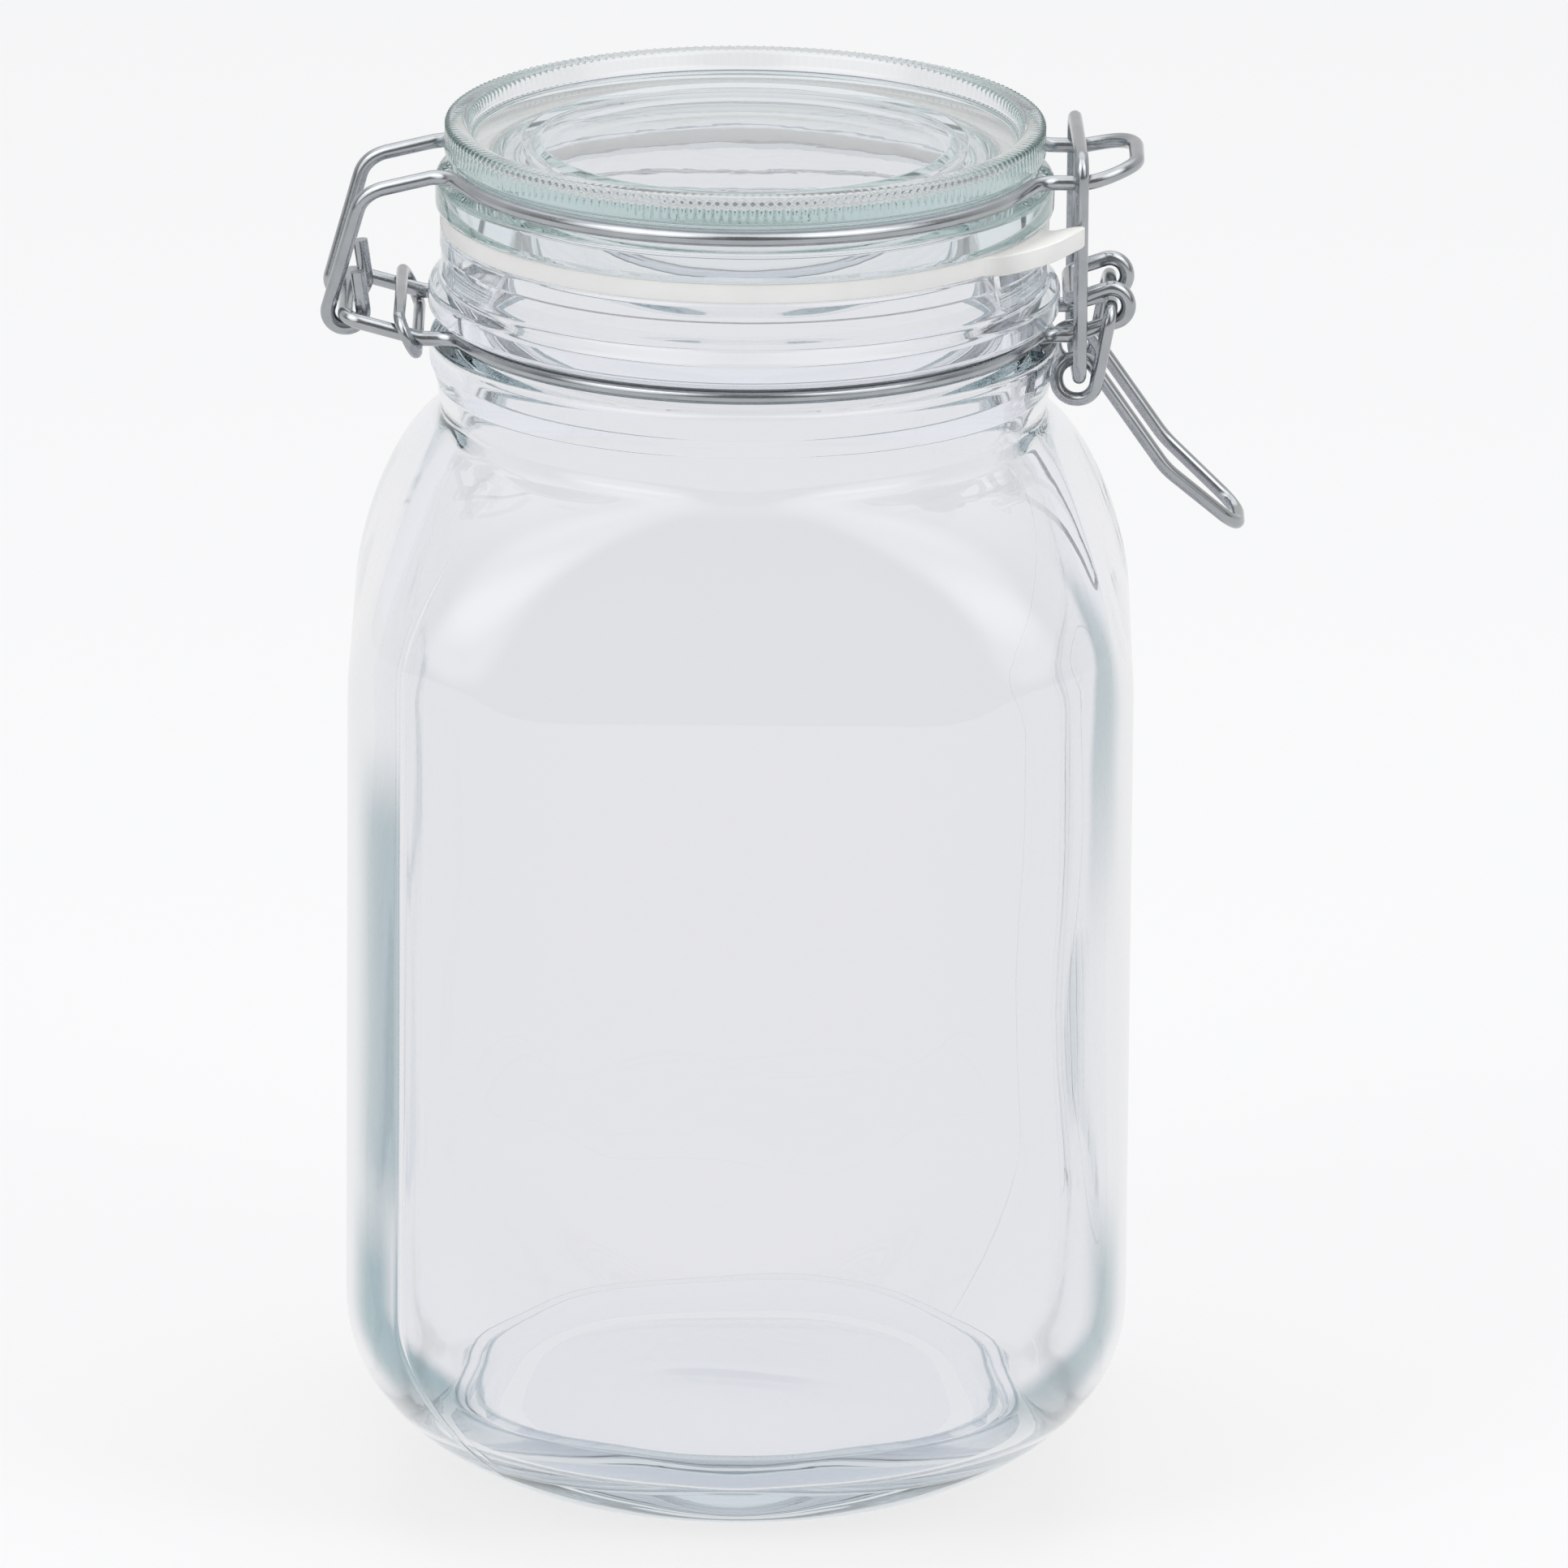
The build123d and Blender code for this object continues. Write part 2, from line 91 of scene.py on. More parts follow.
# Painted shade strips, darker teal where the jar's rounded corners and heel are seen edgewise, on the hinge side (-1)
# and the latch side (1): partly the tint of thick glass, partly painted shade standing in for dark surroundings
# refracted in the edges.
# Heights, and how far the glass is turned away, where a strip starts, is full, fades and ends
edgeTintAndShadeStrips = {
    "hingeStrip": {"side": -1, "heights": (48, 68, 122, 142), "turned": (0.30, 0.34, 0.44, 0.85), "strength": 0.85},
    "latchStrip": {"side": 1, "heights": (96, 146, 160, 174), "turned": (0.38, 0.43, 0.53, 0.72), "strength": 0.75},
    "hingeHeel": {"side": -1, "heights": (12, 30, 46, 64), "turned": (0.33, 0.48, 0.90, 1.10), "strength": 1.0},
    "latchHeel": {"side": 1, "heights": (12, 30, 44, 66), "turned": (0.36, 0.54, 0.90, 1.10), "strength": 0.85},
}
stripCorner = (40.0, 49.0)      # strips begin this far from the middle, both ways
stripWander = {"size": 26.0, "reach": 0.08}
# Painted shade lines round the floor, standing in for dark refraction at the foot's edges: radii with half widths,
# sharp share of them, strength all round and added towards the sides, and how far from the floor's height they may
# show
floorShadeLines = {"rings": ((48.3, 0.45), (45.2, 0.55)), "sharp": 0.4, "allRound": 0.3, "sides": 0.5, "within": 1.5}


def edgeTintAndShadeShare(tree, place):
    # how far the darker teal shows, from 0 in thin glass to 1 in the strips and lines: partly the tint of thick
    # glass, partly painted shade; the jar's attributes say where on it each painted shade strip and the floor's
    # painted shade lines may show
    noise = addNode(tree, "ShaderNodeTexNoise", {
        "Vector": place, "Scale": perMillimetre(stripWander["size"]), "Detail": 1.0}).outputs["Fac"]
    reach = stripWander["reach"] / 2
    wander = addNode(tree, "ShaderNodeMapRange", {
        "Value": noise, "To Min": -reach, "To Max": reach}).outputs["Result"]
    facing = addNode(tree, "ShaderNodeLayerWeight", {"Blend": 0.5}).outputs["Facing"]
    turned = addNode(tree, "ShaderNodeMath", {0: facing, 1: wander}, operation="ADD").outputs[0]
    total = 0.0
    for name, strip in edgeTintAndShadeStrips.items():
        start, full, fade, end = strip["turned"]
        shown = addNode(tree, "ShaderNodeAttribute", attribute_name=name).outputs["Fac"]
        for low, high, first, last in ((start, full, 0.0, 1.0), (fade, end, 1.0, 0.0)):
            ramp = addNode(tree, "ShaderNodeMapRange", {
                "Value": turned, "From Min": low, "From Max": high, "To Min": first, "To Max": last},
                interpolation_type="SMOOTHSTEP").outputs["Result"]
            shown = addNode(tree, "ShaderNodeMath", {0: shown, 1: ramp}, operation="MULTIPLY").outputs[0]
        total = addNode(tree, "ShaderNodeMath", {0: total, 1: shown}, operation="ADD").outputs[0]
    flat = addNode(tree, "ShaderNodeVectorMath", {0: place, 1: (1, 1, 0)}, operation="MULTIPLY").outputs[0]
    radius = addNode(tree, "ShaderNodeVectorMath", {0: flat}, operation="LENGTH").outputs["Value"]
    # painted shade lines round the floor, standing in for dark refraction at the foot's edges
    onFloor = addNode(tree, "ShaderNodeAttribute", attribute_name="floorShadeLine").outputs["Fac"]
    for middle, half in floorShadeLines["rings"]:
        across = addNode(tree, "ShaderNodeMath", {0: radius, 1: middle * mm}, operation="SUBTRACT").outputs[0]
        away = addNode(tree, "ShaderNodeMath", {0: across}, operation="ABSOLUTE").outputs[0]
        line = addNode(tree, "ShaderNodeMapRange", {
            "Value": away, "From Min": half * floorShadeLines["sharp"] * mm, "From Max": half * mm,
            "To Min": 1.0, "To Max": 0.0}, interpolation_type="SMOOTHSTEP").outputs["Result"]
        total = addNode(tree, "ShaderNodeMath", {0: line, 1: onFloor, 2: total}, operation="MULTIPLY_ADD").outputs[0]
    return addNode(tree, "ShaderNodeMath", {0: total, 1: 1.0}, operation="MINIMUM").outputs[0]


def makeGlass(look, strips=False):
    material, tree = newMaterial(look["name"])
    place = addNode(tree, "ShaderNodeTexCoord").outputs["Object"]
    wave = addNode(tree, "ShaderNodeTexNoise", {
        "Vector": place, "Scale": perMillimetre(glassLook["waveSize"]), "Detail": 1.0})
    ripple = addNode(tree, "ShaderNodeTexNoise", {
        "Vector": place, "Scale": perMillimetre(glassLook["rippleSize"]), "Detail": 2.0})
    waveBump = addNode(tree, "ShaderNodeBump", {
        "Height": wave.outputs["Fac"], "Strength": look["wave"], "Distance": look["waveHeight"] * mm})
    rippleBump = addNode(tree, "ShaderNodeBump", {
        "Height": ripple.outputs["Fac"], "Normal": waveBump.outputs["Normal"], "Strength": look["ripple"],
        "Distance": look["waveHeight"] * glassLook["rippleShare"] * mm})
    color = linearColor(glassLook["clear"])
    # the strips mix in a darker teal here, partly thick-glass tint and partly painted shade
    if strips:
        color = addNode(tree, "ShaderNodeMix", {
            "Factor": edgeTintAndShadeShare(tree, place), 6: color, 7: linearColor(glassLook["edgeTintAndShade"])},
            data_type="RGBA").outputs[2]
    shader = addNode(tree, "ShaderNodeBsdfPrincipled", {
        "Base Color": color, "Roughness": 0.0, "IOR": glassLook["ior"],
        "Transmission Weight": 1.0, "Normal": rippleBump.outputs["Normal"]})
    depth = addNode(tree, "ShaderNodeVolumeAbsorption", {
        "Color": linearColor(look["tint"]), "Density": look["absorption"]})
    addNode(tree, "ShaderNodeOutputMaterial", {
        "Surface": shader.outputs["BSDF"], "Volume": depth.outputs["Volume"]})
    return material


# Bright drawn steel wire: mirror-like along the wire, with faint drawing marks and dull nicks
wireLook = {
    "bright": "#C3C6C9",
    "dull": "#9CA0A4",
    "markSize": 0.5,
    "patchSize": 7.0,
    "roughness": (0.14, 0.26),
    "markRange": (0.35, 0.75),      # of the noise, from smooth to rough
    "markStrength": 0.06, "markDepth": 0.03,
}


def makeWireSteel():
    material, tree = newMaterial("brightDrawnSteelWire")
    place = addNode(tree, "ShaderNodeTexCoord").outputs["Object"]
    patch = addNode(tree, "ShaderNodeTexNoise", {
        "Vector": place, "Scale": perMillimetre(wireLook["patchSize"]), "Detail": 4.0})
    mark = addNode(tree, "ShaderNodeTexNoise", {
        "Vector": place, "Scale": perMillimetre(wireLook["markSize"]), "Detail": 3.0})
    color = addNode(tree, "ShaderNodeMix", {
        "Factor": patch.outputs["Fac"], 6: linearColor(wireLook["dull"]), 7: linearColor(wireLook["bright"])},
        data_type="RGBA")
    rough = addNode(tree, "ShaderNodeMapRange", {
        "Value": mark.outputs["Fac"], "From Min": wireLook["markRange"][0], "From Max": wireLook["markRange"][1],
        "To Min": wireLook["roughness"][0], "To Max": wireLook["roughness"][1]})
    bump = addNode(tree, "ShaderNodeBump", {
        "Height": mark.outputs["Fac"], "Strength": wireLook["markStrength"],
        "Distance": wireLook["markDepth"] * mm})
    shader = addNode(tree, "ShaderNodeBsdfPrincipled", {
        "Base Color": color.outputs[2], "Metallic": 1.0, "Roughness": rough.outputs["Result"],
        "Normal": bump.outputs["Normal"]})
    addNode(tree, "ShaderNodeOutputMaterial", {"Surface": shader.outputs["BSDF"]})
    return material


# Moulded white rubber: matt, slightly warm, with a fine moulding grain
rubberLook = {
    "color": "#D8D7D3", "shade": "#CBCAC5", "roughness": 0.55,
    "grainSize": 0.6, "grainStrength": 0.25, "grainDepth": 0.06, "patchSize": 12.0,
}


def makeRubber():
    material, tree = newMaterial("mouldedWhiteRubber")
    place = addNode(tree, "ShaderNodeTexCoord").outputs["Object"]
    patch = addNode(tree, "ShaderNodeTexNoise", {
        "Vector": place, "Scale": perMillimetre(rubberLook["patchSize"]), "Detail": 3.0})
    grain = addNode(tree, "ShaderNodeTexNoise", {
        "Vector": place, "Scale": perMillimetre(rubberLook["grainSize"]), "Detail": 2.0})
    color = addNode(tree, "ShaderNodeMix", {
        "Factor": patch.outputs["Fac"], 6: linearColor(rubberLook["shade"]), 7: linearColor(rubberLook["color"])},
        data_type="RGBA")
    bump = addNode(tree, "ShaderNodeBump", {
        "Height": grain.outputs["Fac"], "Strength": rubberLook["grainStrength"],
        "Distance": rubberLook["grainDepth"] * mm})
    shader = addNode(tree, "ShaderNodeBsdfPrincipled", {
        "Base Color": color.outputs[2], "Roughness": rubberLook["roughness"], "Normal": bump.outputs["Normal"]})
    addNode(tree, "ShaderNodeOutputMaterial", {"Surface": shader.outputs["BSDF"]})
    return material


def finishPiece(piece, body, slotName, *replaced):
    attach(piece, body)
    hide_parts(*replaced)


def newPiece(name, vertices, faces, material):
    mesh = bpy.data.meshes.new(name)
    mesh.from_pydata([tuple(v) for v in vertices], [], faces)
    mesh.polygons.foreach_set("use_smooth", [True] * len(mesh.polygons))
    mesh.materials.append(material)
    mesh.update()
    piece = bpy.data.objects.new(name, mesh)
    scene.collection.objects.link(piece)
    return piece


def ringSurface(rings, startPole=None, endPole=None):
    # rings: (count, around, 3); neighbouring rings are joined by quads, and poles close the ends
    count, around = rings.shape[:2]
    vertices = [tuple(v) for v in rings.reshape(-1, 3)]
    faces = []
    for i in range(count - 1):
        for j in range(around):
            k = (j + 1) % around
            faces.append((i * around + j, i * around + k, (i + 1) * around + k, (i + 1) * around + j))
    if startPole is not None:
        vertices.append(tuple(startPole))
        faces += [(len(vertices) - 1, (j + 1) % around, j) for j in range(around)]
    if endPole is not None:
        vertices.append(tuple(endPole))
        last = (count - 1) * around
        faces += [(len(vertices) - 1, last + j, last + (j + 1) % around) for j in range(around)]
    return vertices, faces


def smoothStep(value, start, end):
    share = np.clip((value - start) / (end - start), 0.0, 1.0)
    return share * share * (3 - 2 * share)


mostOfSide = 0.48      # a rounding takes up at most this share of each side


def roundedProfile(corners, steps=4):
    # corners: (radius, height, rounding); each inner corner is replaced by an arc
    points = [Vector(corners[0][:2])]
    for before, corner, after in zip(corners, corners[1:], corners[2:]):
        here = Vector(corner[:2])
        toBefore = Vector(before[:2]) - here
        toAfter = Vector(after[:2]) - here
        half = toBefore.angle(toAfter) / 2
        reach = min(corner[2] / max(np.tan(half), 1e-6), mostOfSide * toBefore.length, mostOfSide * toAfter.length)
        if reach < 1e-4:
            points.append(here)
            continue
        start = here + toBefore.normalized() * reach
        end = here + toAfter.normalized() * reach
        for step in range(steps + 1):
            t = step / steps
            points.append(start * (1 - t) ** 2 + here * 2 * t * (1 - t) + end * t ** 2)
    points.append(Vector(corners[-1][:2]))
    return points


# Jar: rounded-square body, round neck with two beads, thick floor with a pushed-up foot
jarSizes = {
    "width": 130.0, "cornerRadius": 31.0,
    "footRadius": 42.0, "footRing": 4.5, "footEdge": 1.2, "footLip": (0.3, 0.05),
    "pushUp": 0.8, "pushSteps": (0.12, 16),
    "heelHeight": 37.5, "heelPowers": (1.96, 1.42), "heelStart": 0.015,
    "shoulderHeight": 36.0, "cornerShoulderHeight": 29.0, "shoulderPowers": (1.25, 1.4),
    "neckStart": 180.5, "neckRadius": 50.0, "waistRadius": 50.8, "waistTop": 185.0,
    "lowerBead": (52.3, 190.6, 194.6), "groove": (48.3, 195.8, 198.6),
    "upperBead": (52.5, 199.4, 203.4), "finishRadius": 50.4, "mouthHeight": 213.2,
    "mouthRadius": 43.0, "mouthBottom": 204.2, "neckBoreTop": 192.2,
    "wall": 4.2, "cornerWall": 5.2, "neckRootExtra": 4.0, "floor": 15.0, "floorRadius": 48.6, "floorDip": 0.3,
    "moat": (54.0, 9.6), "floorGroove": (45.2, 48.2, 0.7),
    "wallWave": 0.10, "waveFade": (30.0, 20.0),      # waves fade in above the moat and out below the neck
    "waves": ((3, 21, 1.0, 0.0), (5, -15, 0.7, 1.3), (9, 9, 0.6, 0.4)),      # count, slant, share and phase
    "seamAngles": (225.0, 45.0), "seamHalfWidth": 0.6, "seamEdge": 0.12, "seamHeight": 0.10,
    "seamEnds": (5.0, 176.0), "seamFade": (6.0, 12.0),
    "seamOffsets": (-1.6, -0.8, -0.55, -0.4, 0, 0.4, 0.55, 0.8, 1.6), "seamClear": 2.2,
}
# spacing of the rings, softness at the heel and at the neck, and softness of the corners in degrees
outerMesh = {"spacing": 2.0, "heel": 2.2, "neck": 2.2, "corner": 2.5}
innerMesh = {"spacing": 2.6, "heel": 3.0, "neck": 4.5, "corner": 4.0}
angleCount = 216
profileSteps = 40
waistSteps = 10
fineStep = 0.5
sectionSamples = 720
softnessChange = (70.0, 60.0)      # height where the heel's softness gives way to the neck's, and over how much
halfDiagonal = sqrt(2) * (jarSizes["width"] / 2 - jarSizes["cornerRadius"]) + jarSizes["cornerRadius"]


def superellipse(share, power):
    return (1 - (1 - share) ** power) ** (1 / power)


def heelRise(share, power):
    start = jarSizes["heelStart"]
    first = superellipse(start, power)
    return (superellipse(start + (1 - start) * share, power) - first) / (1 - first)


def bodyProfile(inner):
    # dense (half width, half diagonal, height) from the foot to the neck
    s = jarSizes
    wall = s["wall"] if inner else 0
    cornerWall = s["cornerWall"] if inner else 0
    thicker = s["neckRootExtra"] if inner else 0
    foot, floor = s["moat"] if inner else (s["footRadius"], 0)
    halfWidth = s["width"] / 2
    points = []
    for step in range(profileSteps + 1):
        share = 1 - cos(pi / 2 * step / profileSteps)
        points.append((foot + (halfWidth - wall - foot) * heelRise(share, s["heelPowers"][0]),
                       foot + (halfDiagonal - cornerWall - foot) * heelRise(share, s["heelPowers"][1]),
                       floor + (s["heelHeight"] - floor) * share))
    shoulderStart = s["neckStart"] - s["shoulderHeight"]
    for step in range(1, profileSteps + 1):
        height = s["heelHeight"] + (shoulderStart - s["heelHeight"]) * step / profileSteps
        points.append((halfWidth - wall, halfDiagonal - cornerWall, height))
    cornerReach = halfDiagonal - cornerWall + wall - s["neckRadius"]
    for step in range(1, profileSteps + 1):
        drop = s["shoulderHeight"] * (1 - sin(pi / 2 * step / profileSteps))
        rise = superellipse(min(drop / s["shoulderHeight"], 1), s["shoulderPowers"][0])
        cornerRise = superellipse(min(drop / s["cornerShoulderHeight"], 1), s["shoulderPowers"][1])
        points.append((s["neckRadius"] + (halfWidth - s["neckRadius"]) * rise - wall,
                       s["neckRadius"] + cornerReach * cornerRise - wall,
                       s["neckStart"] - drop - thicker * (1 - rise)))
    root = s["neckStart"] - thicker
    for step in range(1, waistSteps + 1):
        radius = s["neckRadius"] + (s["waistRadius"] - s["neckRadius"]) * step / waistSteps - wall
        points.append((radius, radius, root + (s["waistTop"] - root) * step / waistSteps))
    return np.array(points)


def softened(dense, softness):
    reach = int(3 * softness / fineStep)
    weights = np.exp(-0.5 * (np.arange(-reach, reach + 1) * fineStep / softness) ** 2)
    weights /= weights.sum()
    padded = np.concatenate([2 * dense[0] - dense[reach:0:-1], dense, 2 * dense[-1] - dense[-2:-reach - 2:-1]])
    return np.stack([np.convolve(padded[:, i], weights, "valid") for i in range(dense.shape[1])], axis=1)


def evenProfile(points, mesh):
    # resamples a profile at even arc length and softens its changes of curvature
    length = np.concatenate([[0], np.cumsum(np.linalg.norm(np.diff(points, axis=0), axis=1))])
    fine = np.linspace(0, length[-1], int(length[-1] / fineStep) + 1)
    dense = np.stack([np.interp(fine, length, points[:, i]) for i in range(points.shape[1])], axis=1)
    upper = np.clip((dense[:, 2:3] - softnessChange[0]) / softnessChange[1], 0, 1)
    soft = softened(dense, mesh["heel"]) * (1 - upper) + softened(dense, mesh["neck"]) * upper
    count = int(length[-1] / mesh["spacing"]) + 1
    pick = np.linspace(0, len(soft) - 1, count).round().astype(int)
    return soft[pick]


def sectionRadius(angles, halfWidth, halfDiag, softness):
    # radius of a rounded square at each angle, with its arcs blended softly into its flats
    fine = np.linspace(0, 2 * pi, sectionSamples, endpoint=False)
    c, s = np.abs(np.cos(fine)), np.abs(np.sin(fine))
    corner = min((sqrt(2) * halfWidth - halfDiag) / (sqrt(2) - 1), halfWidth)
    flat = halfWidth - corner
    radius = halfWidth / np.maximum(c, s)
    along = flat * (c + s)
    arc = along + np.sqrt(np.maximum(along ** 2 - 2 * flat ** 2 + corner ** 2, 0))
    radius = np.where(np.minimum(c, s) * radius > flat, arc, radius)
    turns = np.arange(sectionSamples)
    turns = np.minimum(turns, sectionSamples - turns) * (2 * pi / sectionSamples)
    kernel = np.exp(-0.5 * (turns / radians(softness)) ** 2)
    radius = np.real(np.fft.ifft(np.fft.fft(radius) * np.fft.fft(kernel / kernel.sum())))
    return np.interp(angles, np.append(fine, 2 * pi), np.append(radius, radius[0]))


def jarAngles():
    # even angles, with extra ones beside the two mould seams
    s = jarSizes
    angles = list(np.linspace(0, 2 * pi, angleCount, endpoint=False))
    for seam in s["seamAngles"]:
        middle = radians(seam)
        angles = [a for a in angles if abs(a - middle) > s["seamClear"] / halfDiagonal]
        angles += [middle + offset / halfDiagonal for offset in s["seamOffsets"]]
    return np.array(sorted(angles))


def neckProfile():
    # (radius, height, rounding) up the outside of the neck, over the mouth and down the bore
    s = jarSizes
    lower, groove, upper = s["lowerBead"], s["groove"], s["upperBead"]
    mouth, bore = s["mouthHeight"], s["waistRadius"] - s["wall"]
    return roundedProfile([
        (s["waistRadius"] + 0.05, s["waistTop"] + 0.6, 0), (s["waistRadius"] + 0.2, s["waistTop"] + 2.0, 2.0),
        (lower[0], lower[1], 3.0), (lower[0], lower[2], 1.3), (groove[0], groove[1], 0.8),
        (groove[0], groove[2], 0.8), (upper[0], upper[1], 1.3), (upper[0], upper[2], 1.6),
        (s["finishRadius"], upper[2] + 1.6, 1.6), (s["finishRadius"], mouth - 3.4, 0.2),
        (s["finishRadius"] + 0.25, mouth - 3.0, 0.2), (s["finishRadius"] + 0.1, mouth, 0.9),
        (s["mouthRadius"], mouth, 1.2), (s["mouthRadius"], s["mouthBottom"], 6.0),
        (bore, s["neckBoreTop"], 6.0), (bore, s["waistTop"] + 1.0, 0)], 5)


def floorProfile():
    # (radius, height, rounding) from the moat over the floor's edge and its groove to the middle
    s = jarSizes
    moat, low = s["moat"]
    inside, outside, depth = s["floorGroove"]
    floor = s["floor"]
    return roundedProfile([
        (moat - 0.6, low, 0), (moat - 1.5, low + 0.3, 2.5), (s["floorRadius"] + 0.1, floor - 0.5, 2.5),
        (outside, floor, 0.4), (outside - 1.2, floor - depth, 0.6), (inside + 1.2, floor - depth, 0.6),
        (inside, floor, 0.6), (20, floor - s["floorDip"], 0), (6, floor - s["floorDip"], 0)], 4)


def addStripShares(jar, outerPoints):
    # point attributes that say where the painted shade strips and the floor's painted shade lines may show
    s = jarSizes
    count = len(jar.data.vertices)
    x, y, z = np.array([v.co for v in jar.data.vertices]).T / mm
    below = np.clip(1 - z / s["heelHeight"], 0, 1)
    drawnIn = (1 - np.sqrt(1 - below ** 2)) * (s["width"] / 2 - s["footRadius"])      # strips follow the heel
    corner = smoothStep(np.minimum(np.abs(x), np.abs(y)) + drawnIn, *stripCorner) * (np.arange(count) < outerPoints)
    shares = {}
    for name, strip in edgeTintAndShadeStrips.items():
        start, full, fade, end = strip["heights"]
        upright = smoothStep(z, start, full) * (1 - smoothStep(z, fade, end))
        shares[name] = corner * upright * (x * strip["side"] > 0) * strip["strength"]
    # painted shade: the floor's lines grow darker towards the hinge and latch sides
    toSide = (np.abs(x) / np.maximum(np.hypot(x, y), 1e-6)) ** 3
    onFloor = np.abs(z - s["floor"]) < floorShadeLines["within"]
    shares["floorShadeLine"] = onFloor * (floorShadeLines["allRound"] + floorShadeLines["sides"] * toSide)
    for name, values in shares.items():
        jar.data.attributes.new(name, "FLOAT", "POINT").data.foreach_set("value", values.astype(np.float32))


def makeJar(material):
    s = jarSizes
    angles = jarAngles()
    rings = []

    def addRing(radius, height):
        rings.append(np.stack([radius * np.cos(angles), radius * np.sin(angles),
                               np.broadcast_to(height, radius.shape)], axis=1) * mm)

    def addRound(points):
        for radius, height in points:
            addRing(np.full(len(angles), radius), height)

    pushRadius = s["footRadius"] - s["footRing"]
    first, steps = s["pushSteps"]
    addRound([(pushRadius * share, s["pushUp"] * (0.5 + 0.5 * cos(pi * share)))
              for share in np.linspace(first, 1, steps)])
    inward, upward = s["footLip"]
    addRound([(pushRadius + s["footEdge"], 0.0), (s["footRadius"] - s["footEdge"], 0.0),
              (s["footRadius"] - inward, upward)])
    seamRise = np.zeros(len(angles))
    for seam in s["seamAngles"]:
        away = np.abs(angles - radians(seam)) * halfDiagonal
        seamRise = np.maximum(seamRise, np.clip((s["seamHalfWidth"] - away) / s["seamEdge"], 0, 1) * s["seamHeight"])
    low, high = s["seamEnds"]
    fadeIn, fadeOut = s["seamFade"]
    for halfWidth, halfDiag, height in evenProfile(bodyProfile(False), outerMesh)[1:]:
        fade = smoothStep(height, low, low + fadeIn) * (1 - smoothStep(height, high - fadeOut, high))
        radius = sectionRadius(angles, halfWidth, halfDiag, outerMesh["corner"])
        addRing(radius + seamRise * fade, height)
    outerPoints = len(rings) * len(angles)
    addRound(neckProfile())
    fadeIn, fadeOut = s["waveFade"]
    for halfWidth, halfDiag, height in evenProfile(bodyProfile(True), innerMesh)[::-1]:
        ripple = sum(share * np.sin(count * angles + height / slant + phase)
                     for count, slant, share, phase in s["waves"])
        fade = min(1, (height - s["moat"][1]) / fadeIn) * min(1, (s["neckStart"] - height) / fadeOut)
        radius = sectionRadius(angles, halfWidth, halfDiag, innerMesh["corner"])
        addRing(radius + s["wallWave"] * fade * ripple, height)
    addRound(floorProfile())
    vertices, faces = ringSurface(
        np.array(rings), (0, 0, s["pushUp"] * mm), (0, 0, (s["floor"] - s["floorDip"]) * mm))
    jar = newPiece("jarGlass", vertices, faces, material)
    addStripShares(jar, outerPoints)
    finishPiece(jar, "jar", "clear_glass", "jar_body")
    print("jar made:", len(faces), "faces")


# Lid: pressed disc with a raised rim, a beaded top edge, a groove for its wire and a plug
lidSizes = {
    "radius": 50.0, "skirtRadius": 51.4, "grooveRadius": 48.3,
    "top": 231.0, "flangeBottom": 226.0, "grooveTop": 225.4, "grooveBottom": 222.6, "seat": 216.6,
    "rimWidth": 4.6, "recess": 3.2, "plate": 5.0,
    "panelRadius": 34.0, "panelGroove": (3.0, 0.9),
    "plugRadius": 42.3, "plugWidth": 4.0, "plugTaper": 1.4, "plugBottom": 212.0, "mouth": 213.2,
    "beadCount": 216, "beadHeight": 0.19, "beadReach": 0.85, "beadInset": (0.4, 0.3),
    "poleRadius": 8.0, "around": 1080,
}


